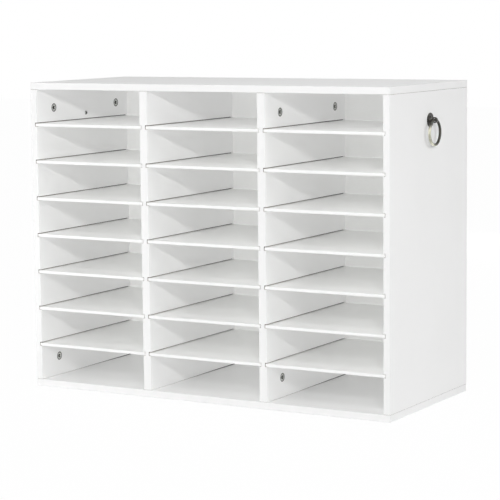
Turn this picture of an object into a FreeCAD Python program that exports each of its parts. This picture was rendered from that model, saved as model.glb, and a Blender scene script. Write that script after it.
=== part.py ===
import FreeCAD, Part
import math
import os
import re
import Sketcher

# Pigeonhole mail sorter: a flat-pack case of white boards, three columns of eight compartments,
# thin shelves lying in grooves, a thin back sheet, cam locks at the joints and a ring pull on each side.
#
# Frame: X runs along the width to the right, Y from the front to the back, Z up. The origin is
# the middle of the case's footprint, on the surface that it stands on. Millimetres.

Vector = FreeCAD.Vector

# Driving sizes, each set by itself.
SIZES = {
    # case
    "case_width": 700,
    "case_depth": 300,
    "board_thickness": 12,
    "divider_thickness": 15,
    "compartment_height": 60,
    "edge_round": 0.5,
    # shelves and the grooves that they lie in
    "shelf_thickness": 5,
    "shelf_groove_depth": 4,
    "shelf_end_gap": 1,
    "shelf_gap_below": 0.5,
    "shelf_gap_above": 1.4,
    "shelf_back_gap": 1,
    # back sheet
    "back_thickness": 3,
    "back_recess": 12,
    "back_groove_depth": 5,
    "back_end_gap": 1,
    "back_side_gap": 0.3,
    # cam locks and their bolts
    "cam_diameter": 15,
    "cam_depth": 9.5,
    "cam_axis_distance": 34,
    "cam_edge_distance": 52,
    "cam_chamfer": 0.4,
    "cam_rim_width": 1.5,
    "cam_dish_depth": 0.5,
    "cam_cross_span": 7.5,
    "cam_cross_width": 1.8,
    "cam_cross_depth": 1.5,
    "bolt_axis_depth": 6,
    "bolt_head_diameter": 6,
    "bolt_head_height": 2.5,
    "bolt_head_offset": 0.5,
    "bolt_neck_diameter": 3.6,
    "bolt_shank_diameter": 6,
    "bolt_collar_thickness": 1.2,
    "bolt_bore_diameter": 7,
    "bolt_thread_diameter": 5,
    "bolt_thread_length": 9,
    "bolt_tip_chamfer": 0.8,
    # dowels
    "dowel_diameter": 6,
    "dowel_length": 30,
    "dowel_panel_depth": 8.5,
    "dowel_chamfer": 0.8,
    "dowel_setback": 32,
    # ring pulls
    "pull_drop": 60,
    "rosette_diameter": 24,
    "rosette_rim_height": 1.2,
    "rosette_step_height": 2.1,
    "rosette_height": 2.8,
    "rosette_step_diameter": 18.5,
    "rosette_cove_diameter": 15.5,
    "rosette_boss_diameter": 10.5,
    "eye_distance": 8.75,
    "eye_diameter": 10,
    "eye_bore_diameter": 6.2,
    "eye_bore_round": 0.5,
    "post_neck_diameter": 7,
    "spigot_diameter": 6.5,
    "spigot_depth": 6,
    "ring_diameter": 45.5,
    "ring_wire_diameter": 4.5,
    "screw_diameter": 4,
    "screw_grip": 6,
    "screw_head_diameter": 7,
    "screw_head_height": 1.5,
    "screw_head_chamfer": 0.5,
    "screw_cross_span": 4,
    "screw_cross_width": 0.9,
    "screw_cross_depth": 0.9,
    # clearances
    "fit_gap": 0.1,
    "hole_end_gap": 0.5,
    "screw_hole_gap": 0.3,
}

COLUMNS = ("left", "middle", "right")
ROWS = 8

# Sizes worked out from the driving sizes and from each other.
FORMULAS = {
    "half_width": "case_width / 2",
    "half_depth": "case_depth / 2",
    "column_count": str(len(COLUMNS)),
    "row_count": str(ROWS),
    "column_width": "(case_width - 2 * board_thickness - (column_count - 1) * divider_thickness)"
                    " / column_count",
    "shelf_pitch": "compartment_height + shelf_thickness",
    "upright_height": "row_count * shelf_pitch - shelf_thickness",
    "case_height": "upright_height + 2 * board_thickness",
    "top_joint": "board_thickness + upright_height",
    "joint_from_middle": "upright_height / 2",
    "shelf_groove_height": "shelf_thickness + shelf_gap_below + shelf_gap_above",
    "first_groove_floor": "board_thickness + compartment_height",
    "back_rear": "half_depth - back_recess",
    "back_front": "back_rear - back_thickness",
    "back_reach": "back_groove_depth - back_end_gap",
    "divider_step": "column_width + divider_thickness",
    "cam_from_middle": "half_depth - cam_edge_distance",
    "dowel_from_middle": "cam_from_middle - dowel_setback",
    "ring_radius": "(ring_diameter - ring_wire_diameter) / 2",
    "pull_height": "case_height - pull_drop",
    "rosette_hole_diameter": "spigot_diameter + 2 * fit_gap",
}

document = FreeCAD.newDocument("MailSorter")


def make_sheet():
    """The spreadsheet that every sub-part reads its sizes from."""
    sheet = document.addObject("Spreadsheet::Sheet", "Sizes")
    row = 0
    for name, size in SIZES.items():
        row += 1
        sheet.set("A%d" % row, name)
        sheet.set("B%d" % row, str(size))
        sheet.setAlias("B%d" % row, name)
    for name, formula in FORMULAS.items():
        row += 1
        sheet.set("A%d" % row, name)
        sheet.set("B%d" % row, "=" + formula)
        sheet.setAlias("B%d" % row, name)
    document.recompute()


make_sheet()
probe = document.addObject("App::FeaturePython", "Probe")


def bound(text):
    """An expression of size names as FreeCAD reads it from the sheet."""
    return re.sub(r"[a-z][a-z_]+", lambda match: "Sizes." + match.group(0), text)


def value(text):
    """The number that an expression of size names stands for now."""
    return float(probe.evalExpression(bound(text)))


# ---------------------------------------------------------------------------------- sketching


def new_body(label, x="0", y="0", z="0", facing=1):
    """An empty body at a place. Facing -1 turns it half round, so that its own +X looks left."""
    body = document.addObject("PartDesign::Body", label)
    body.Label = label
    place(body, x, y, z)
    if facing < 0:
        body.Placement = FreeCAD.Placement(body.Placement.Base, FreeCAD.Rotation(Vector(0, 0, 1), 180))
    return body


def place(item, x, y, z):
    """Ties an object's place to the sheet."""
    for axis, text in zip("xyz", (x, y, z)):
        item.setExpression("Placement.Base." + axis, bound(text))


def origin_plane(body, role):
    return next(part for part in body.Origin.OriginFeatures if part.Role == role)


def new_sketch(body, name, role, across="0", up="0", out="0"):
    """A sketch on one of the body's origin planes, with its own origin moved across, up and out."""
    sketch = body.newObject("Sketcher::SketchObject", name)
    sketch.AttachmentSupport = [(origin_plane(body, role), "")]
    sketch.MapMode = "FlatFace"
    for axis, text in zip("xyz", (across, up, out)):
        sketch.setExpression("AttachmentOffset.Base." + axis, bound(text))
    return sketch


def hold_point(sketch, item, vertex, point):
    """Holds a vertex at its distances from the sketch's origin."""
    for kind, text in zip(("DistanceX", "DistanceY"), point):
        index = sketch.addConstraint(Sketcher.Constraint(kind, -1, 1, item, vertex, value(text)))
        sketch.setExpression("Constraints[%d]" % index, bound(text))


def draw_polygon(sketch, corners):
    """A closed outline of straight sides."""
    points = [Vector(value(x), value(y), 0) for x, y in corners]
    first = sketch.GeometryCount
    for start, end in zip(points, points[1:] + points[:1]):
        sketch.addGeometry(Part.LineSegment(start, end))
    for index, corner in enumerate(corners):
        line = first + index
        following = first + (index + 1) % len(corners)
        sketch.addConstraint(Sketcher.Constraint("Coincident", line, 2, following, 1))
        hold_point(sketch, line, 1, corner)


def draw_rectangle(sketch, left, right, low, high):
    draw_polygon(sketch, [(left, low), (right, low), (right, high), (left, high)])


def draw_circle(sketch, x, y, diameter):
    centre = Vector(value(x), value(y), 0)
    item = sketch.addGeometry(Part.Circle(centre, Vector(0, 0, 1), value(diameter) / 2))
    hold_point(sketch, item, 3, (x, y))
    index = sketch.addConstraint(Sketcher.Constraint("Diameter", item, value(diameter)))
    sketch.setExpression("Constraints[%d]" % index, bound(diameter))


def draw_cross(sketch, x, y, span, width):
    """A plus sign: two crossing slots of one span and width."""
    far = "(%s) / 2" % span
    near = "(%s) / 2" % width
    steps = [(far, near), (near, near), (near, far)]
    corners = []
    for sign_x, sign_y, turn in ((1, 1, 1), (-1, 1, -1), (-1, -1, 1), (1, -1, -1)):
        for across, up in steps[::turn]:
            corners.append(("%s + %d * %s" % (x, sign_x, across), "%s + %d * %s" % (y, sign_y, up)))
    draw_polygon(sketch, corners)


# ------------------------------------------------------------------------------------ features


def pad(body, sketch, length, along_normal=True):
    feature = body.newObject("PartDesign::Pad", sketch.Name + "_pad")
    feature.Profile = sketch
    feature.setExpression("Length", bound(length))
    feature.Reversed = not along_normal
    body.Tip = feature
    return feature


def pocket(body, sketch, depth, along_normal=False):
    """Cuts a sketch's outlines into the body, against the sketch's normal unless told otherwise."""
    feature = body.newObject("PartDesign::Pocket", sketch.Name + "_pocket")
    feature.Profile = sketch
    feature.setExpression("Length", bound(depth))
    feature.Reversed = along_normal
    body.Tip = feature
    return feature


def revolve(body, sketch, axis):
    feature = body.newObject("PartDesign::Revolution", sketch.Name + "_turned")
    feature.Profile = sketch
    feature.ReferenceAxis = (sketch, [axis])
    feature.Angle = 360
    body.Tip = feature
    return feature


def edge_names(feature, wanted):
    """The names of a feature's edges that a test picks."""
    document.recompute()
    return ["Edge%d" % (index + 1) for index, edge in enumerate(feature.Shape.Edges) if wanted(edge)]


def round_edges(body, feature, radius, wanted):
    fillet = body.newObject("PartDesign::Fillet", feature.Name + "_round")
    fillet.Base = (feature, edge_names(feature, wanted))
    fillet.setExpression("Radius", bound(radius))
    body.Tip = fillet


def chamfer_edges(body, feature, size, wanted):
    chamfer = body.newObject("PartDesign::Chamfer", feature.Name + "_chamfer")
    chamfer.Base = (feature, edge_names(feature, wanted))
    chamfer.setExpression("Size", bound(size))
    body.Tip = chamfer


def mirror_all(body, roles):
    """Repeats the whole body across origin planes, one after the other."""
    for role in roles:
        feature = body.newObject("PartDesign::Mirrored", body.Name + "_" + role)
        feature.TransformMode = "Whole shape"
        feature.MirrorPlane = (origin_plane(body, role), [""])
        body.Tip = feature


def runs_along_z(edge):
    low, high = edge.BoundBox.ZMin, edge.BoundBox.ZMax
    return math.isclose(high - low, edge.Length, rel_tol=1e-6)


def any_edge(edge):
    return True


# ------------------------------------------------------------------------------- layout of uprights

# Each upright's middle plane, thickness, the sides that carry shelf grooves (-1 left, +1 right)
# and the side that its cam locks are let into.
SIDE_MIDDLE = "half_width - board_thickness / 2"
DIVIDER_MIDDLE = "(column_width + divider_thickness) / 2"
UPRIGHT_DATA = {
    "left_side_panel": ("-(%s)" % SIDE_MIDDLE, "board_thickness", (1,), 1),
    "left_divider": ("-(%s)" % DIVIDER_MIDDLE, "divider_thickness", (-1, 1), -1),
    "right_divider": (DIVIDER_MIDDLE, "divider_thickness", (-1, 1), 1),
    "right_side_panel": (SIDE_MIDDLE, "board_thickness", (-1,), -1),
}


def bolt_offset(thickness, cam_side):
    """How far the bolts stand from an upright's middle plane, towards its right."""
    return "%d * (%s / 2 - bolt_axis_depth)" % (cam_side, thickness)


def fitting_places(x, from_middle):
    """The front and back places of a fitting in plan."""
    return [(x, "-" + from_middle), (x, from_middle)]


# -------------------------------------------------------------------------- top and bottom panels


def make_flat_panel(label, joint, outward):
    """Top or bottom panel: z = 0 is its inner face, and outward is +1 for up and -1 for down."""
    body = new_body(label, z=joint)
    outline = new_sketch(body, label + "_outline", "XY_Plane")
    draw_rectangle(outline, "-half_width", "half_width", "-half_depth", "half_depth")
    board = pad(body, outline, "board_thickness", along_normal=outward > 0)
    round_edges(body, board, "edge_round", any_edge)
    bolt_holes = new_sketch(body, label + "_bolt_holes", "XY_Plane")
    dowel_holes = new_sketch(body, label + "_dowel_holes", "XY_Plane")
    for middle, thickness, _, cam_side in UPRIGHT_DATA.values():
        bolt_x = "%s + %s" % (middle, bolt_offset(thickness, cam_side))
        for x, y in fitting_places(bolt_x, "cam_from_middle"):
            draw_circle(bolt_holes, x, y, "bolt_thread_diameter + 2 * fit_gap")
        for x, y in fitting_places(middle, "dowel_from_middle"):
            draw_circle(dowel_holes, x, y, "dowel_diameter + 2 * fit_gap")
    pocket(body, bolt_holes, "bolt_thread_length + hole_end_gap", along_normal=outward > 0)
    pocket(body, dowel_holes, "dowel_panel_depth + hole_end_gap", along_normal=outward > 0)
    groove = new_sketch(body, label + "_back_groove", "XY_Plane")
    groove_end = "half_width - board_thickness + back_groove_depth"
    draw_rectangle(groove, "-(%s)" % groove_end, groove_end,
                   "back_front - back_side_gap", "back_rear + back_side_gap")
    pocket(body, groove, "back_groove_depth", along_normal=outward > 0)
    return body


# ------------------------------------------------------------------------- side panels and dividers


def cut_shelf_grooves(body, label, thickness, side):
    """The grooves of one face, open at the front, one for each shelf."""
    sketch = new_sketch(body, "%s_grooves_%s" % (label, "right" if side > 0 else "left"), "YZ_Plane",
                        out="%d * %s / 2" % (side, thickness))
    for level in range(ROWS - 1):
        floor = "first_groove_floor + %d * shelf_pitch" % level
        draw_rectangle(sketch, "-half_depth", "half_depth", floor, floor + " + shelf_groove_height")
    pocket(body, sketch, "shelf_groove_depth", along_normal=side < 0)


def bore_ends(body, label, bolt_x):
    """Bores for the cam bolts and the dowels in the upright's bottom and top ends."""
    for end, joint, upwards in (("bottom", "board_thickness", True), ("top", "top_joint", False)):
        bolts = new_sketch(body, "%s_%s_bolt_bores" % (label, end), "XY_Plane", out=joint)
        for x, y in fitting_places(bolt_x, "cam_from_middle"):
            draw_circle(bolts, x, y, "bolt_bore_diameter")
        pocket(body, bolts, "cam_axis_distance", along_normal=upwards)
        dowels = new_sketch(body, "%s_%s_dowel_bores" % (label, end), "XY_Plane", out=joint)
        for x, y in fitting_places("0", "dowel_from_middle"):
            draw_circle(dowels, x, y, "dowel_diameter + 2 * fit_gap")
        pocket(body, dowels, "dowel_length - dowel_panel_depth + hole_end_gap", along_normal=upwards)


def bore_cam_seats(body, label, thickness, cam_side):
    """The round seats of the four cam locks."""
    seats = new_sketch(body, label + "_cam_seats", "YZ_Plane", out="%d * %s / 2" % (cam_side, thickness))
    for height in ("board_thickness + cam_axis_distance", "top_joint - cam_axis_distance"):
        for y in ("-cam_from_middle", "cam_from_middle"):
            draw_circle(seats, y, height, "cam_diameter")
    pocket(body, seats, "cam_depth + hole_end_gap", along_normal=cam_side < 0)


def make_upright(label):
    """A side panel or divider. Its own x = 0 is its middle plane."""
    middle, thickness, groove_sides, cam_side = UPRIGHT_DATA[label]
    is_side = len(groove_sides) == 1
    body = new_body(label, x=middle)
    outline = new_sketch(body, label + "_outline", "XY_Plane", out="board_thickness")
    draw_rectangle(outline, "-%s / 2" % thickness, "%s / 2" % thickness,
                   "-half_depth", "half_depth" if is_side else "back_front")
    board = pad(body, outline, "upright_height")
    round_edges(body, board, "edge_round", any_edge)
    for side in groove_sides:
        cut_shelf_grooves(body, label, thickness, side)
    bore_cam_seats(body, label, thickness, cam_side)
    bore_ends(body, label, bolt_offset(thickness, cam_side))
    if is_side:
        inner = groove_sides[0]
        cut_back_groove(body, label, inner)
        bore_for_pull(body, label, inner)
    return body


def cut_back_groove(body, label, inner):
    """The upright groove that the back sheet's edge stands in."""
    sketch = new_sketch(body, label + "_back_groove", "YZ_Plane", out="%d * board_thickness / 2" % inner)
    draw_rectangle(sketch, "back_front - back_side_gap", "back_rear + back_side_gap",
                   "board_thickness", "top_joint")
    pocket(body, sketch, "back_groove_depth", along_normal=inner < 0)


def bore_for_pull(body, label, inner):
    """A screw hole right through, wider from the outside for the pull's spigot."""
    outer = new_sketch(body, label + "_spigot_hole", "YZ_Plane", out="%d * board_thickness / 2" % -inner)
    draw_circle(outer, "0", "pull_height", "spigot_diameter + 2 * fit_gap")
    pocket(body, outer, "spigot_depth + hole_end_gap", along_normal=inner > 0)
    through = new_sketch(body, label + "_screw_hole", "YZ_Plane", out="%d * board_thickness / 2" % inner)
    draw_circle(through, "0", "pull_height", "screw_diameter + 2 * screw_hole_gap")
    pocket(body, through, "board_thickness", along_normal=inner < 0)


# ------------------------------------------------------------------------- back sheet and shelves


def make_back_panel():
    """One thin sheet, its four edges standing in the grooves of the case."""
    body = new_body("back_panel", y="back_front", z="board_thickness - back_reach")
    outline = new_sketch(body, "back_outline", "XY_Plane")
    reach = "half_width - board_thickness + back_reach"
    draw_rectangle(outline, "-(%s)" % reach, reach, "0", "back_thickness")
    pad(body, outline, "upright_height + 2 * back_reach")
    return body


def make_shelf(column, column_index, number):
    """A loose shelf. Shelves are numbered from the top. Its own origin is the middle of its front edge."""
    label = "%s_shelf_%d" % (column, number)
    level = ROWS - 1 - number
    body = new_body(label,
                    x="%d * divider_step" % (column_index - 1),
                    y="-half_depth",
                    z="first_groove_floor + %d * shelf_pitch + shelf_gap_below" % level)
    outline = new_sketch(body, label + "_outline", "XY_Plane")
    half = "column_width / 2 + shelf_groove_depth - shelf_end_gap"
    draw_rectangle(outline, "-(%s)" % half, half, "0", "half_depth + back_front - shelf_back_gap")
    board = pad(body, outline, "shelf_thickness")
    round_edges(body, board, "edge_round", any_edge)
    return body


# ----------------------------------------------------------------------- cam locks, bolts and dowels


def make_cam_locks(label):
    """The four cam locks of one upright, flush with its face. Own +X looks out of that face."""
    middle, thickness, _, cam_side = UPRIGHT_DATA[label]
    body = new_body(label.replace("_panel", "") + "_cam_locks",
                    x="%s + %d * %s / 2" % (middle, cam_side, thickness),
                    z="case_height / 2",
                    facing=cam_side)
    name = body.Name
    y = "cam_from_middle"
    z = "joint_from_middle - cam_axis_distance"
    turned = "cam_diameter - 2 * fit_gap"
    disc = new_sketch(body, name + "_disc", "YZ_Plane")
    draw_circle(disc, y, z, turned)
    blank = pad(body, disc, "cam_depth", along_normal=False)
    chamfer_edges(body, blank, "cam_chamfer", lambda edge: edge.BoundBox.XMin > -value("fit_gap"))
    dish = new_sketch(body, name + "_dish", "YZ_Plane")
    draw_circle(dish, y, z, turned + " - 2 * cam_rim_width")
    pocket(body, dish, "cam_dish_depth")
    cross = new_sketch(body, name + "_cross", "YZ_Plane", out="-cam_dish_depth")
    draw_cross(cross, y, z, "cam_cross_span", "cam_cross_width")
    pocket(body, cross, "cam_cross_depth")
    cavity_depth = "cam_depth - bolt_axis_depth + bolt_head_diameter / 2 + fit_gap"
    half_head = "(bolt_head_diameter / 2 + fit_gap)"
    half_neck = "(bolt_neck_diameter / 2 + fit_gap)"
    jaw = "bolt_head_offset + bolt_head_height + fit_gap"
    head_room = new_sketch(body, name + "_head_room", "YZ_Plane", out="-cam_depth")
    draw_rectangle(head_room, "%s - %s" % (y, half_head), "%s + %s" % (y, half_head),
                   z + " - fit_gap", "%s + %s" % (z, jaw))
    pocket(body, head_room, cavity_depth, along_normal=True)
    neck_slot = new_sketch(body, name + "_neck_slot", "YZ_Plane", out="-cam_depth")
    draw_rectangle(neck_slot, "%s - %s" % (y, half_neck), "%s + %s" % (y, half_neck),
                   z, z + " + cam_diameter / 2")
    pocket(body, neck_slot, cavity_depth, along_normal=True)
    mirror_all(body, ("XZ_Plane", "XY_Plane"))
    return body


def make_cam_bolts(label):
    """The four bolts of one upright: thread in the panel, head in the cam lock."""
    middle, thickness, _, cam_side = UPRIGHT_DATA[label]
    body = new_body(label.replace("_panel", "") + "_cam_bolts",
                    x="%s + %s" % (middle, bolt_offset(thickness, cam_side)),
                    z="case_height / 2")
    sketch = new_sketch(body, body.Name + "_profile", "YZ_Plane",
                        across="cam_from_middle", up="joint_from_middle")
    thread = "bolt_thread_diameter / 2"
    collar = "bolt_bore_diameter / 2 - fit_gap"
    shank = "bolt_shank_diameter / 2"
    neck = "bolt_neck_diameter / 2"
    head = "bolt_head_diameter / 2"
    neck_start = "-(cam_axis_distance - cam_diameter / 2 - fit_gap)"
    head_end = "-(cam_axis_distance - bolt_head_offset)"
    head_start = head_end + " + bolt_head_height"
    draw_polygon(sketch, [
        ("0", "bolt_thread_length"),
        ("0", head_end),
        (head, head_end),
        (head, head_start),
        (neck, head_start),
        (neck, neck_start),
        (shank, neck_start),
        (shank, "-bolt_collar_thickness"),
        (collar, "-bolt_collar_thickness"),
        (collar, "0"),
        (thread, "0"),
        (thread, "bolt_thread_length - bolt_tip_chamfer"),
        (thread + " - bolt_tip_chamfer", "bolt_thread_length"),
    ])
    revolve(body, sketch, "V_Axis")
    mirror_all(body, ("XZ_Plane", "XY_Plane"))
    return body


def make_dowels(label):
    """The four wooden dowels that locate one upright on the top and bottom panels."""
    middle = UPRIGHT_DATA[label][0]
    body = new_body(label.replace("_panel", "") + "_dowels", x=middle, z="case_height / 2")
    sketch = new_sketch(body, body.Name + "_round", "XY_Plane",
                        out="joint_from_middle + dowel_panel_depth")
    draw_circle(sketch, "0", "dowel_from_middle", "dowel_diameter")
    stick = pad(body, sketch, "dowel_length", along_normal=False)
    chamfer_edges(body, stick, "dowel_chamfer", lambda edge: not runs_along_z(edge))
    mirror_all(body, ("XZ_Plane", "XY_Plane"))
    return body


# ------------------------------------------------------------------------------------- ring pulls


def new_pull_body(name, side):
    """A body of one pull: its own x = 0 is the side panel's outer face, and +X points outwards."""
    return new_body("%s_pull_%s" % ("right" if side > 0 else "left", name),
                    x="%d * half_width" % side, z="pull_height", facing=side)


def make_rosette(side):
    """The round plate, turned: a rim, a raised step, a cove and a central boss."""
    body = new_pull_body("rosette", side)
    sketch = new_sketch(body, body.Name + "_profile", "XY_Plane")
    hole = "rosette_hole_diameter / 2"
    draw_polygon(sketch, [
        ("0", hole),
        ("0", "rosette_diameter / 2"),
        ("rosette_rim_height", "rosette_diameter / 2"),
        ("rosette_step_height", "rosette_step_diameter / 2"),
        ("rosette_rim_height", "rosette_cove_diameter / 2"),
        ("rosette_height", "rosette_boss_diameter / 2"),
        ("rosette_height", hole),
    ])
    revolve(body, sketch, "H_Axis")
    return body


def make_post(side):
    """Spigot, short neck and a round eye whose bore lies along Y."""
    body = new_pull_body("post", side)
    sketch = new_sketch(body, body.Name + "_profile", "XY_Plane")
    draw_polygon(sketch, [
        ("-spigot_depth", "0"),
        ("-spigot_depth", "spigot_diameter / 2"),
        ("rosette_height", "spigot_diameter / 2"),
        ("rosette_height", "post_neck_diameter / 2"),
        ("eye_distance", "post_neck_diameter / 2"),
        ("eye_distance", "0"),
    ])
    revolve(body, sketch, "H_Axis")
    eye = body.newObject("PartDesign::AdditiveSphere", body.Name + "_eye")
    eye.AttachmentSupport = [(origin_plane(body, "XY_Plane"), "")]
    eye.MapMode = "FlatFace"
    eye.setExpression("AttachmentOffset.Base.x", bound("eye_distance"))
    eye.setExpression("Radius", bound("eye_diameter / 2"))
    body.Tip = eye
    bore = new_sketch(body, body.Name + "_bore", "XZ_Plane", out="-eye_diameter / 2")
    draw_circle(bore, "eye_distance", "0", "eye_bore_diameter")
    bored = pocket(body, bore, "eye_diameter", along_normal=True)
    mouth = math.sqrt(value("eye_diameter") ** 2 - value("eye_bore_diameter") ** 2) / 2
    round_edges(body, bored, "eye_bore_round",
                lambda edge: abs(edge.BoundBox.Center.y) > mouth - value("eye_bore_round")
                and edge.BoundBox.XLength > value("eye_bore_diameter") / 2)
    thread = new_sketch(body, body.Name + "_thread", "YZ_Plane", out="-spigot_depth")
    draw_circle(thread, "0", "0", "screw_diameter + 2 * fit_gap")
    pocket(body, thread, "screw_grip + hole_end_gap", along_normal=True)
    return body


def make_screw(side):
    """The fixing screw: its head bears on the side panel's inner face, its end is in the post."""
    body = new_pull_body("screw", side)
    sketch = new_sketch(body, body.Name + "_profile", "XY_Plane")
    head_top = "-(board_thickness + screw_head_height)"
    tip = "screw_grip - spigot_depth"
    draw_polygon(sketch, [
        (head_top, "0"),
        (head_top, "screw_head_diameter / 2 - screw_head_chamfer"),
        (head_top + " + screw_head_chamfer", "screw_head_diameter / 2"),
        ("-board_thickness", "screw_head_diameter / 2"),
        ("-board_thickness", "screw_diameter / 2"),
        (tip, "screw_diameter / 2"),
        (tip, "0"),
    ])
    revolve(body, sketch, "H_Axis")
    cross = new_sketch(body, body.Name + "_cross", "YZ_Plane", out=head_top)
    draw_cross(cross, "0", "0", "screw_cross_span", "screw_cross_width")
    pocket(body, cross, "screw_cross_depth", along_normal=True)
    return body


def make_ring(side):
    """The ring hangs in the eye, parallel to the side panel."""
    ring = document.addObject("Part::Torus", "%s_pull_ring" % ("right" if side > 0 else "left"))
    ring.Label = ring.Name
    ring.setExpression("Radius1", bound("ring_radius"))
    ring.setExpression("Radius2", bound("ring_wire_diameter / 2"))
    ring.Placement = FreeCAD.Placement(Vector(0, 0, 0), FreeCAD.Rotation(Vector(0, 1, 0), 90))
    place(ring, "%d * (half_width + eye_distance)" % side, "0", "pull_height - ring_radius")
    return ring


# ------------------------------------------------------------------------- assembly, checks, export


def make_all():
    """Every sub-part of the sorter."""
    parts = [
        make_flat_panel("top_panel", "top_joint", 1),
        make_flat_panel("bottom_panel", "board_thickness", -1),
        make_back_panel(),
    ]
    for label in UPRIGHT_DATA:
        parts.append(make_upright(label))
        parts.append(make_cam_locks(label))
        parts.append(make_cam_bolts(label))
        parts.append(make_dowels(label))
    for column_index, column in enumerate(COLUMNS):
        for number in range(1, ROWS):
            parts.append(make_shelf(column, column_index, number))
    for side in (-1, 1):
        parts.append(make_rosette(side))
        parts.append(make_post(side))
        parts.append(make_screw(side))
        parts.append(make_ring(side))
    document.recompute()
    return parts


def check(parts):
    """Stops unless every object is sound and every cut has taken material away."""
    for item in document.Objects:
        if "Invalid" in item.State or "Error" in item.State:
            raise RuntimeError("%s is %s" % (item.Label, item.State))
        if item.TypeId == "PartDesign::Pocket":
            before = item.BaseFeature.Shape.Volume
            if item.Shape.Volume >= before:
                raise RuntimeError("%s cuts nothing" % item.Label)
    for part in parts:
        if part.Shape.isNull() or not part.Shape.isValid():
            raise RuntimeError("%s has no valid shape" % part.Label)


def export(parts):
    os.makedirs("parts", exist_ok=True)
    for part in parts:
        part.Shape.exportStep("parts/%s.step" % part.Label)
        box = part.Shape.BoundBox
        print("%-26s %d solid(s) %9.1f mm3  x %7.2f %7.2f  y %7.2f %7.2f  z %7.2f %7.2f" % (
            part.Label, len(part.Shape.Solids), part.Shape.Volume,
            box.XMin, box.XMax, box.YMin, box.YMax, box.ZMin, box.ZMax))


sorter = make_all()
check(sorter)
export(sorter)
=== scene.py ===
"""Looks of the pigeonhole mail sorter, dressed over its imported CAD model.

Metres, in the model's frame: X to the right, Y to the back, Z up, the floor at z = 0.
"""

import math

import bpy
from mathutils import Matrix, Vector


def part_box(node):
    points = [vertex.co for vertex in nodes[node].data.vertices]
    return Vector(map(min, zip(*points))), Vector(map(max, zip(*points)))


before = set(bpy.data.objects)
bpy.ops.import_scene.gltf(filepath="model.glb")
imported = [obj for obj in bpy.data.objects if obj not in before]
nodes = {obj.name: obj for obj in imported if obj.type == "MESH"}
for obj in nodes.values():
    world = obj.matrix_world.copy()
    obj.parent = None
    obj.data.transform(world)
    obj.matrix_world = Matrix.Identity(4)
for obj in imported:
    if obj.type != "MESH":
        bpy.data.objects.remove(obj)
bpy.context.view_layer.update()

top_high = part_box("top_panel")[1]
bottom_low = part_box("bottom_panel")[0]
middle_z = (bottom_low.z + top_high.z) / 2
sheet_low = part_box("back_panel")[0]


# ------------------------------------------------------------------------------ node graphs


class Graph:
    """A material with a Principled shader, and short ways to add nodes in front of it."""

    def __init__(self, name):
        self.material = bpy.data.materials.new(name)
        self.material.use_nodes = True
        self.tree = self.material.node_tree
        self.shader = self.tree.nodes["Principled BSDF"]
        self.coordinates = self.tree.nodes.new("ShaderNodeTexCoord")

    def set(self, **values):
        """Values that are the same all over the surface."""
        for name, value in values.items():
            self.shader.inputs[name.replace("_", " ")].default_value = value

    def feed(self, name, source):
        """A shader input that changes over the surface."""
        self.tree.links.new(source, self.shader.inputs[name])

    def node(self, kind, inputs=(), **settings):
        """A new node with its inputs linked to sockets, or set to plain values."""
        made = self.tree.nodes.new(kind)
        for name, value in settings.items():
            setattr(made, name, value)
        for key, value in inputs:
            if isinstance(value, bpy.types.NodeSocket):
                self.tree.links.new(value, made.inputs[key])
            else:
                made.inputs[key].default_value = value
        return made

    def place(self):
        """Metres in the model's frame."""
        return self.coordinates.outputs["Object"]

    def normal(self):
        """The way a surface faces, in the model's frame."""
        return self.coordinates.outputs["Normal"]

    def split(self, vector):
        return self.node("ShaderNodeSeparateXYZ", [(0, vector)]).outputs

    def join(self, x, y, z):
        return self.node("ShaderNodeCombineXYZ", [(0, x), (1, y), (2, z)]).outputs[0]

    def math(self, operation, *values):
        return self.node("ShaderNodeMath", enumerate(values), operation=operation).outputs[0]

    def rescale(self, value, low, high, to_low=0.0, to_high=1.0):
        """Turns low..high smoothly into to_low..to_high, and stops at both ends."""
        return self.node(
            "ShaderNodeMapRange",
            [
                ("Value", value),
                ("From Min", low),
                ("From Max", high),
                ("To Min", to_low),
                ("To Max", to_high),
            ],
            interpolation_type="SMOOTHSTEP",
        ).outputs["Result"]

    def spread(self, noise, to_low=0.0, to_high=1.0, reach=0.20):
        """Turns a noise, of which most lies within reach of 0.5, into to_low..to_high."""
        return self.rescale(noise, 0.5 - reach, 0.5 + reach, to_low, to_high)

    def noise(self, scale, detail=2.0, roughness=0.5, vector=None, distortion=0.0):
        """Noise between 0 and 1, with scale in waves per metre."""
        return self.node(
            "ShaderNodeTexNoise",
            [
                ("Vector", vector or self.place()),
                ("Scale", scale),
                ("Detail", detail),
                ("Roughness", roughness),
                ("Distortion", distortion),
            ],
        ).outputs["Fac"]

    def blend(self, factor, first, second):
        """A colour between two others."""
        made = self.node("ShaderNodeMix", data_type="RGBA")
        for key, value in (("Factor", factor), ("A", first), ("B", second)):
            wanted = "VALUE" if key == "Factor" else "RGBA"
            socket = next(s for s in made.inputs if s.name == key and s.type == wanted)
            if isinstance(value, bpy.types.NodeSocket):
                self.tree.links.new(value, socket)
            else:
                socket.default_value = (*value, 1.0)
        return next(s for s in made.outputs if s.type == "RGBA")

    def bump(self, height, depth, strength, below=None):
        """Relief of a height between 0 and 1 times a depth in metres, over a coarser one below."""
        inputs = [("Height", height), ("Distance", depth), ("Strength", strength)]
        if below is not None:
            inputs.append(("Normal", below))
        return self.node("ShaderNodeBump", inputs).outputs["Normal"]


def shaded(colour, share):
    """A colour that keeps this share of its light."""
    return [channel * share for channel in colour]


def distance(graph, across, up):
    """How far a point lies from an axis, from its two offsets."""
    across_squared = graph.math("MULTIPLY", across, across)
    up_squared = graph.math("MULTIPLY", up, up)
    return graph.math("SQRT", graph.math("ADD", across_squared, up_squared))


def lengthwise(graph):
    """1 on the faces that look to the front or the back, 0 on the ones across them."""
    return graph.math("ABSOLUTE", graph.split(graph.normal())[1])


# ----------------------------------------------------------------------------------- boards


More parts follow.
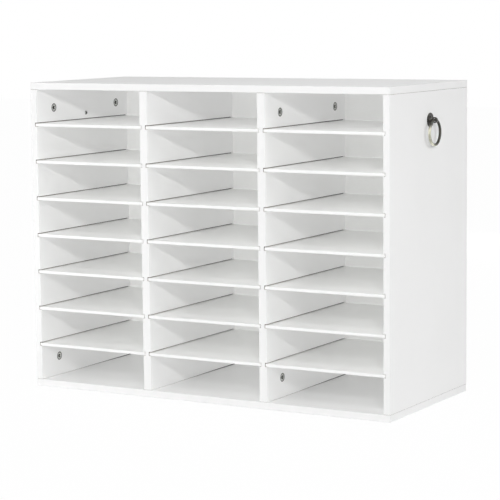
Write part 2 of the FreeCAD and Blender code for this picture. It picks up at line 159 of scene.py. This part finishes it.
BOARDS = (
    "top_panel",
    "bottom_panel",
    "left_side_panel",
    "left_divider",
    "right_divider",
    "right_side_panel",
)
BOARD_FACE = (0.86, 0.86, 0.858)
BOARD_EDGE = (0.87, 0.87, 0.868)
BOARD_ROUGHNESS = 0.44
LACQUER_IOR = 1.5

JOINT_STRENGTH = 0.35  # of the line between the facing and the edge band
JOINT_SHADE = 0.55

# raw core colours, darker than bare chipboard: the core's own colour with painted shade in it
CORE_DARK = (0.13, 0.113, 0.09)
CORE_PALE = (0.26, 0.22, 0.175)
CORE_PAINTED_SHADE = (0.02, 0.018, 0.015)
CORE_ROUGHNESS = 0.85

CUT_DEPTH = 0.0003  # a surface that lies deeper in its board is a cut
END_BAND = 0.0006  # the rounded corner at an upright's end: raw core, with the joint's shade painted on it
SEAM_SHADE_BAND = 0.0014  # height of the painted joint shade at an upright's end, where it is widest
OUTSIDE_BAND = 0.002  # a point this near to the case's side faces is on its outside

SHELF_FACE = (0.875, 0.877, 0.868)
# painted highlight on the shelves' front and back edges
SHELF_EDGE_HIGHLIGHT = (0.92, 0.92, 0.917)
SHELF_ROUGHNESS = 0.34

SHEET_FACE = (0.845, 0.848, 0.838)


def arris(graph):
    """0 on flat faces, rising towards the middle of a rounded edge."""
    x, y, z = graph.split(graph.normal())
    largest = graph.math("MAXIMUM", graph.math("ABSOLUTE", x), graph.math("ABSOLUTE", y))
    largest = graph.math("MAXIMUM", largest, graph.math("ABSOLUTE", z))
    return graph.math("SUBTRACT", 1.0, largest)


def depth_in_box(graph, low, high):
    """How far a point lies inside a board's outer faces, in metres."""
    nearest = None
    for axis, value in enumerate(graph.split(graph.place())):
        for outer, inner in ((value, low[axis]), (high[axis], value)):
            gap = graph.math("SUBTRACT", outer, inner)
            nearest = gap if nearest is None else graph.math("MINIMUM", nearest, gap)
    return nearest


def end_core_and_seam_shade(graph, bend, low, high):
    """1 on the rounded corners of an upright's sawn top and bottom ends, where its core shows and
    the shade of the joint is painted.

    Inside the case painted joint shade also runs along the ends, reaching higher towards the back.
    """
    x, y, z = graph.split(graph.place())
    above, below = graph.math("SUBTRACT", z, low.z), graph.math("SUBTRACT", high.z, z)
    from_end = graph.math("MINIMUM", above, below)
    in_corner = graph.math("LESS_THAN", from_end, END_BAND)
    corner = graph.math("MULTIPLY", in_corner, graph.rescale(bend, 0.01, 0.06))
    inside = graph.math("LESS_THAN", graph.math("ABSOLUTE", x), top_high.x - OUTSIDE_BAND)
    # painted joint shade, reaching higher up the upright towards the back
    height = graph.rescale(y, low.y, high.y, 0.0, SEAM_SHADE_BAND)
    strip = graph.math("LESS_THAN", from_end, height)
    return graph.math("MAXIMUM", corner, graph.math("MULTIPLY", inside, strip))


def core_with_painted_shade(graph, low, high):
    """Raw chips, in colours darker than bare chipboard that also paint the shade in grooves and
    holes, with more painted shade towards the back sheet and none behind it.
    """
    chips = graph.noise(420.0, detail=3.0, roughness=0.65)
    unshaded_core = graph.blend(graph.spread(chips, reach=0.15), CORE_DARK, CORE_PALE)
    along = graph.split(graph.place())[1]
    before_sheet = graph.math("LESS_THAN", along, sheet_low.y)
    # painted shade, deepening towards the back of the case
    groove_shade = graph.math("MULTIPLY", graph.rescale(along, low.y, high.y), before_sheet)
    return graph.blend(groove_shade, unshaded_core, CORE_PAINTED_SHADE)


def laminated_board(node):
    """White melamine board: fine pearl relief, faint clouding, and a glued edge band with its
    joint line.
    The core shows in every groove and hole, in colours with painted shade, and at an upright's
    ends, with the joint's shade painted there."""
    graph = Graph("white_board_" + node)
    low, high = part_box(node)

    clouds = graph.spread(graph.noise(7.0, detail=3.0), reach=0.15)
    specks = graph.math("MULTIPLY", graph.spread(graph.noise(1500.0, detail=1.0)), 0.5)
    surface = graph.blend(clouds, BOARD_FACE, shaded(BOARD_FACE, 0.985))
    surface = graph.blend(specks, surface, shaded(BOARD_FACE, 0.99))
    colour = graph.blend(graph.rescale(lengthwise(graph), 0.80, 0.97), surface, BOARD_EDGE)

    bend = arris(graph)
    begins, ends = graph.rescale(bend, 0.02, 0.10), graph.rescale(bend, 0.20, 0.28, 1.0, 0.0)
    joint = graph.math("MULTIPLY", graph.math("MULTIPLY", begins, ends), JOINT_STRENGTH)
    colour = graph.blend(joint, colour, shaded(BOARD_FACE, JOINT_SHADE))

    core_and_seam_shade = graph.math("GREATER_THAN", depth_in_box(graph, low, high), CUT_DEPTH)
    is_upright = high.z - low.z > high.x - low.x
    # an upright's ends show raw core and painted joint shade
    if is_upright:
        core_and_seam_shade = graph.math("MAXIMUM", core_and_seam_shade, end_core_and_seam_shade(graph, bend, low, high))
    graph.feed("Base Color", graph.blend(core_and_seam_shade, colour, core_with_painted_shade(graph, low, high)))

    gloss = graph.spread(graph.noise(260.0), BOARD_ROUGHNESS - 0.05, BOARD_ROUGHNESS + 0.05)
    cut_roughness = graph.math("MULTIPLY", core_and_seam_shade, CORE_ROUGHNESS)
    graph.feed("Roughness", graph.math("MAXIMUM", gloss, cut_roughness))

    waves = graph.bump(graph.noise(22.0, detail=1.0), depth=0.00015, strength=0.5)
    pearl = graph.noise(1200.0, detail=2.0)
    graph.feed("Normal", graph.bump(pearl, depth=0.00002, strength=0.6, below=waves))
    graph.set(IOR=LACQUER_IOR)
    return graph.material


def painted_shelf(name):
    """Thin white fibreboard: smooth lacquer with faint roller marks, and front and back edges
    painted brighter as a painted highlight.
    """
    graph = Graph(name)
    x, y, z = graph.split(graph.place())
    strokes = graph.noise(600.0, vector=graph.join(x, graph.math("MULTIPLY", y, 0.04), z))
    clouds = graph.spread(graph.noise(9.0, detail=3.0), reach=0.15)
    surface = graph.blend(clouds, SHELF_FACE, shaded(SHELF_FACE, 0.985))
    # painted highlight: the edges that look to the front and back are lighter
    edge = graph.rescale(lengthwise(graph), 0.75, 0.95)
    graph.feed("Base Color", graph.blend(edge, surface, SHELF_EDGE_HIGHLIGHT))
    gloss = graph.spread(strokes, SHELF_ROUGHNESS - 0.04, SHELF_ROUGHNESS + 0.04)
    graph.feed("Roughness", gloss)
    graph.feed("Normal", graph.bump(strokes, depth=0.00001, strength=0.5))
    graph.set(IOR=LACQUER_IOR)
    return graph.material


def hardboard_sheet(name):
    """Thin painted fibre sheet: matt, with short pressed fibres in it."""
    graph = Graph(name)
    x, y, z = graph.split(graph.place())
    pressed = graph.join(graph.math("MULTIPLY", x, 0.35), y, z)
    fibres = graph.noise(380.0, detail=4.0, roughness=0.65, vector=pressed)
    clouds = graph.spread(graph.noise(11.0, detail=3.0))
    colour = graph.blend(clouds, SHEET_FACE, shaded(SHEET_FACE, 0.975))
    fibre_strength = graph.rescale(fibres, 0.35, 0.75, 0.0, 0.35)
    graph.feed("Base Color", graph.blend(fibre_strength, colour, shaded(SHEET_FACE, 0.95)))
    graph.feed("Roughness", graph.spread(fibres, 0.62, 0.74))
    graph.feed("Normal", graph.bump(fibres, depth=0.00004, strength=0.5))
    return graph.material


# --------------------------------------------------------------------- fasteners and pulls


ZINC_BRIGHT = (0.58, 0.58, 0.56)
ZINC_DULL = (0.44, 0.44, 0.42)
ZINC_RIM_SHADE = (0.07, 0.07, 0.065)
ZINC_CROSS_SHADE = (0.03, 0.03, 0.027)
LOCK_RADIUS = 0.0074
LOCK_RIM_SHADE = (0.0055, 0.0063)  # the radii over which the face turns into the painted shade of its rim
LOCK_CROSS_SHADE = (0.0026, 0.0040)  # the radii over which the painted shade of the cross ends

BOLT_BRIGHT = (0.62, 0.61, 0.58)
BOLT_DARK = (0.40, 0.39, 0.36)
BOLT_LINES = 3000.0
SCREW_BRIGHT = (0.46, 0.46, 0.45)
SCREW_DARK = (0.30, 0.30, 0.29)
SCREW_LINES = 2500.0
SCREW_CROSS_SHADE = (0.05, 0.05, 0.048)
SCREW_CROSS_SHADE_RADII = (0.0016, 0.0026)

BEECH_DARK = (0.62, 0.42, 0.26)
BEECH_PALE = (0.74, 0.55, 0.37)
BEECH_FLECK = (0.36, 0.20, 0.11)

PULL_DARK = (0.045, 0.043, 0.040)
PULL_WORN = (0.16, 0.155, 0.14)
RING_DARK = (0.055, 0.053, 0.046)
# the ring's bright colour: rubbed plating and a painted highlight
RING_WORN_AND_HIGHLIGHT = (0.54, 0.53, 0.43)


def offset_from_pair(graph, value, middle, half_gap):
    """How far a coordinate is from the nearer of two axes that lie evenly about a middle."""
    from_middle = graph.math("ABSOLUTE", graph.math("SUBTRACT", value, middle))
    return graph.math("SUBTRACT", from_middle, half_gap)


def cast_zinc(name):
    """Cam locks, four in a rectangle: satin cast zinc, with painted shade in the cross and round
    the rim.
    """
    low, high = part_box("left_side_cam_locks")
    half_gap_y = (high.y - low.y) / 2 - LOCK_RADIUS
    half_gap_z = (high.z - low.z) / 2 - LOCK_RADIUS
    graph = Graph(name)
    _, y, z = graph.split(graph.place())
    across = offset_from_pair(graph, y, (low.y + high.y) / 2, half_gap_y)
    up = offset_from_pair(graph, z, middle_z, half_gap_z)
    radius = distance(graph, across, up)
    grain = graph.noise(1900.0, detail=3.0, roughness=0.7)
    colour = graph.blend(graph.spread(grain), ZINC_BRIGHT, ZINC_DULL)
    # painted shade round the rim and in the recessed cross
    colour = graph.blend(graph.rescale(radius, *LOCK_RIM_SHADE), colour, ZINC_RIM_SHADE)
    colour = graph.blend(graph.rescale(radius, *LOCK_CROSS_SHADE, 1.0, 0.0), colour, ZINC_CROSS_SHADE)
    graph.feed("Base Color", colour)
    graph.feed("Roughness", graph.spread(grain, 0.32, 0.50))
    graph.feed("Normal", graph.bump(grain, depth=0.00003, strength=0.5))
    graph.set(Metallic=0.9)
    return graph.material


def turned_steel(name, bright, dark, lines, head_height=None):
    """Machined steel with fine turning lines and a little tarnish.

    A screw also has painted shade in the cross of its head, and head_height is the z of its axis.
    """
    graph = Graph(name)
    x, y, z = graph.split(graph.place())
    squeezed = graph.join(graph.math("MULTIPLY", x, 0.1), graph.math("MULTIPLY", y, 0.1), z)
    rings = graph.noise(lines, vector=squeezed)
    tarnish = graph.rescale(graph.noise(300.0, detail=3.0), 0.40, 0.70)
    surface = graph.blend(tarnish, bright, dark)
    if head_height is not None:
        radius = distance(graph, y, graph.math("SUBTRACT", z, head_height))
        # painted shade in the cross of the screw head
        cross = graph.rescale(radius, *SCREW_CROSS_SHADE_RADII, 1.0, 0.0)
        surface = graph.blend(cross, surface, SCREW_CROSS_SHADE)
    graph.feed("Base Color", surface)
    graph.feed("Roughness", graph.spread(rings, 0.25, 0.42))
    graph.feed("Normal", graph.bump(rings, depth=0.00002, strength=0.5))
    graph.set(Metallic=1.0)
    return graph.material


def beech_dowel(name):
    """Pale beech with short dark flecks along its length."""
    graph = Graph(name)
    x, y, z = graph.split(graph.place())
    fibres = graph.join(x, y, graph.math("MULTIPLY", z, 0.06))
    rays = graph.join(x, y, graph.math("MULTIPLY", z, 0.15))
    grain = graph.noise(700.0, detail=4.0, vector=fibres)
    flecks = graph.rescale(graph.noise(1600.0, vector=rays), 0.62, 0.70)
    colour = graph.blend(grain, BEECH_DARK, BEECH_PALE)
    graph.feed("Base Color", graph.blend(flecks, colour, BEECH_FLECK))
    graph.feed("Roughness", graph.spread(grain, 0.55, 0.68))
    graph.feed("Normal", graph.bump(grain, depth=0.00005, strength=0.5))
    return graph.material


def ring_wear_and_highlight(graph, low, high):
    """1 where the ring is painted bright: round its outside, where the fingers rub the plating off
    and a highlight is painted, on the half that looks to the front, as a painted reflection, and
    less near the eye that it hangs in."""
    _, y, z = graph.split(graph.place())
    wire = high.x - low.x
    radius = distance(graph, y, graph.math("SUBTRACT", z, (low.z + high.z) / 2))
    # rubbed plating and a painted highlight round the outside
    outer = graph.rescale(radius, high.y - 0.75 * wire, high.y - 0.25 * wire, 0.25, 1.0)
    # painted reflection on the half that looks to the front
    front = graph.rescale(y, 0.7 * low.y, 0.5 * high.y, 1.0, 0.12)
    below_eye = graph.rescale(z, high.z - 4.2 * wire, high.z - 1.8 * wire, 1.0, 0.05)
    return graph.math("MULTIPLY", outer, graph.math("MULTIPLY", front, below_eye))


def aged_metal(name, dark, worn_and_highlight, worn_range, roughness, ring=None):
    """Antique plated metal: dark patina, rubbed brighter in patches. ring is a ring's box; on a
    ring the bright colour also paints a highlight and a reflection.
    """
    graph = Graph(name)
    patches = graph.noise(150.0, detail=4.0, roughness=0.6, distortion=0.3)
    wear_and_highlight = graph.rescale(patches, *worn_range)
    if ring:
        patchy = graph.rescale(wear_and_highlight, 0.0, 1.0, 0.7, 1.0)
        wear_and_highlight = graph.math("MULTIPLY", ring_wear_and_highlight(graph, *ring), patchy)
    graph.feed("Base Color", graph.blend(wear_and_highlight, dark, worn_and_highlight))
    fine = graph.noise(2200.0, detail=3.0)
    graph.feed("Roughness", graph.spread(fine, roughness - 0.06, roughness + 0.08))
    dents = graph.bump(patches, depth=0.0001, strength=0.4)
    graph.feed("Normal", graph.bump(fine, depth=0.00002, strength=0.5, below=dents))
    graph.set(Metallic=1.0)
    return graph.material


# -------------------------------------------------------------------------------- finishes


white_boards = {node: laminated_board(node) for node in BOARDS}
shelf_board = painted_shelf("shelf_board")
back_sheet = hardboard_sheet("back_sheet")
cam_zinc = cast_zinc("cam_zinc")
bolt_steel = turned_steel("bolt_steel", BOLT_BRIGHT, BOLT_DARK, BOLT_LINES)
post_low, post_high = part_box("right_pull_post")
pull_height = (post_low.z + post_high.z) / 2
screw_steel = turned_steel(
    "screw_steel", SCREW_BRIGHT, SCREW_DARK, SCREW_LINES, head_height=pull_height
)
dowel_beech = beech_dowel("dowel_beech")
antique_dark = aged_metal("antique_nickel_dark", PULL_DARK, PULL_WORN, (0.50, 0.72), 0.36)
antique_nickel = aged_metal(
    "antique_nickel", RING_DARK, RING_WORN_AND_HIGHLIGHT, (0.38, 0.60), 0.42, ring=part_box("right_pull_ring")
)


def material_for(name):
    """The finish of a CAD node."""
    if name.endswith("_cam_locks"):
        return cam_zinc
    if name.endswith("_cam_bolts"):
        return bolt_steel
    if name.endswith("_dowels"):
        return dowel_beech
    if name.endswith("_pull_screw"):
        return screw_steel
    if name.endswith("_pull_ring"):
        return antique_nickel
    if "_pull_" in name:
        return antique_dark
    if "_shelf_" in name:
        return shelf_board
    if name == "back_panel":
        return back_sheet
    return white_boards[name]


for name, piece in nodes.items():
    piece.data.materials.clear()
    piece.data.materials.append(material_for(name))


# ---------------------------------------------------------------------------------- studio


WHITE = (1.0, 1.0, 1.0, 1.0)
FLOOR_GREY = (0.80, 0.80, 0.80, 1.0)
FLOOR_REACH = 9.0
FLOOR_GLOW = 0.985  # the rest of what is seen of the floor carries the shadow
WORLD_STRENGTH = 0.10
FILL_ANGLE = math.radians(60)
CAMERA_PLACE = (1.71842, -2.94103, 0.66548)
CAMERA_DEGREES = (82.9606, 0.5965, 30.1543)


def add_object(name, data):
    """A new object in the scene."""
    made = bpy.data.objects.new(name, data)
    bpy.context.scene.collection.objects.link(made)
    return made


def seen_directly(tree):
    """1 for the rays of the camera, reflections and glass, 0 for the rays that carry light."""
    path = tree.nodes.new("ShaderNodeLightPath")
    seen = path.outputs["Is Camera Ray"]
    for ray in ("Is Glossy Ray", "Is Transmission Ray"):
        either = tree.nodes.new("ShaderNodeMath")
        either.operation = "MAXIMUM"
        tree.links.new(seen, either.inputs[0])
        tree.links.new(path.outputs[ray], either.inputs[1])
        seen = either.outputs[0]
    return seen


def show_mixed(tree, output, share, first, second):
    """Sends a mix of two shaders to an output node."""
    mix = tree.nodes.new("ShaderNodeMixShader")
    for index, source in enumerate((share, first.outputs[0], second.outputs[0])):
        tree.links.new(source, mix.inputs[index])
    tree.links.new(mix.outputs[0], tree.nodes[output].inputs["Surface"])


def make_floor():
    """White floor: camera and reflections see it white, and it still carries the soft shadow."""
    corners = [
        (-FLOOR_REACH, -FLOOR_REACH, 0),
        (FLOOR_REACH, -FLOOR_REACH, 0),
        (FLOOR_REACH, FLOOR_REACH, 0),
        (-FLOOR_REACH, FLOOR_REACH, 0),
    ]
    mesh = bpy.data.meshes.new("studio_floor")
    mesh.from_pydata(corners, [], [(0, 1, 2, 3)])
    floor = add_object("studio_floor", mesh)
    material = bpy.data.materials.new("studio_floor")
    material.use_nodes = True
    tree = material.node_tree
    shader = tree.nodes["Principled BSDF"]
    shader.inputs["Base Color"].default_value = FLOOR_GREY
    shader.inputs["Roughness"].default_value = 0.9
    shader.inputs["Specular IOR Level"].default_value = 0.1
    glow = tree.nodes.new("ShaderNodeEmission")
    share = tree.nodes.new("ShaderNodeMath")
    share.operation = "MULTIPLY"
    tree.links.new(seen_directly(tree), share.inputs[0])
    share.inputs[1].default_value = FLOOR_GLOW
    show_mixed(tree, "Material Output", share.outputs[0], shader, glow)
    mesh.materials.append(material)


def make_world():
    """Even white surroundings. Seen directly they are plain white."""
    world = bpy.data.worlds.new("studio")
    bpy.context.scene.world = world
    world.use_nodes = True
    tree = world.node_tree
    around = tree.nodes["Background"]
    around.inputs["Color"].default_value = WHITE
    around.inputs["Strength"].default_value = WORLD_STRENGTH
    backdrop = tree.nodes.new("ShaderNodeBackground")
    backdrop.inputs["Color"].default_value = WHITE
    show_mixed(tree, "World Output", seen_directly(tree), around, backdrop)


def drop_shadow(data):
    """Lets a lamp shine through everything. Multiple importance sampling is off with it, since
    a lamp sampled through surfaces as well would come out too dim."""
    data.use_shadow = False
    data.cycles.use_multiple_importance_sampling = False


def aim(lamp, direction):
    lamp.rotation_euler = direction.to_track_quat("-Z", "Y").to_euler()


def make_lamp(name, place, target, size, watts, shadow=True, mirrored=True):
    """A round studio lamp that faces its target. Without mirrored it leaves no glare."""
    data = bpy.data.lights.new(name, "AREA")
    data.shape = "DISK"
    data.size = size
    data.energy = watts
    if not shadow:
        drop_shadow(data)
    lamp = add_object(name, data)
    lamp.visible_glossy = mirrored
    lamp.location = place
    aim(lamp, Vector(target) - Vector(place))


def make_fill(name, towards, strength):
    """Even light from afar that no board stops, so it reaches into the compartments."""
    data = bpy.data.lights.new(name, "SUN")
    data.energy = strength
    data.angle = FILL_ANGLE
    drop_shadow(data)
    aim(add_object(name, data), Vector(towards))


def make_camera():
    data = bpy.data.cameras.new("camera")
    data.sensor_width = 36.0
    data.lens = 141.34
    data.clip_start = 0.05
    data.clip_end = 60.0
    camera = add_object("camera", data)
    camera.location = CAMERA_PLACE
    camera.rotation_euler = [math.radians(angle) for angle in CAMERA_DEGREES]
    bpy.context.scene.camera = camera


make_floor()
make_world()
make_lamp("key", (1.557, -2.10, 1.117), (-3.0, -1.0, 0.30), size=0.12, watts=22.8, mirrored=False)
make_lamp("high", (0.2, -2.1, 2.6), (0.0, 0.0, 0.27), size=1.3, watts=27.6)
make_lamp("side", (2.60, -0.30, 1.40), (0.2, 0.0, 0.30), size=1.1, watts=22.9)
make_lamp("top", (0.0, 0.0, 2.80), (0.0, 0.0, 0.30), size=1.5, watts=8.4)
make_lamp("rear", (-0.5, 2.4, 0.33), (0.0, 0.0, 0.27), size=0.35, watts=10.0)
make_lamp("low", (-1.2, -1.0, 0.1), (0.0, 0.0, 0.20), size=0.6, watts=4.5, shadow=False)
make_fill("fill_front", (0, 1, 0), strength=0.39)
make_fill("fill_right", (-1, 0, 0), strength=0.12)
make_fill("fill_left", (1, 0, 0), strength=0.64)
make_fill("fill_back", (0, -1, 0.6), strength=1.27)
make_camera()
bpy.context.scene.view_settings.view_transform = "Standard"
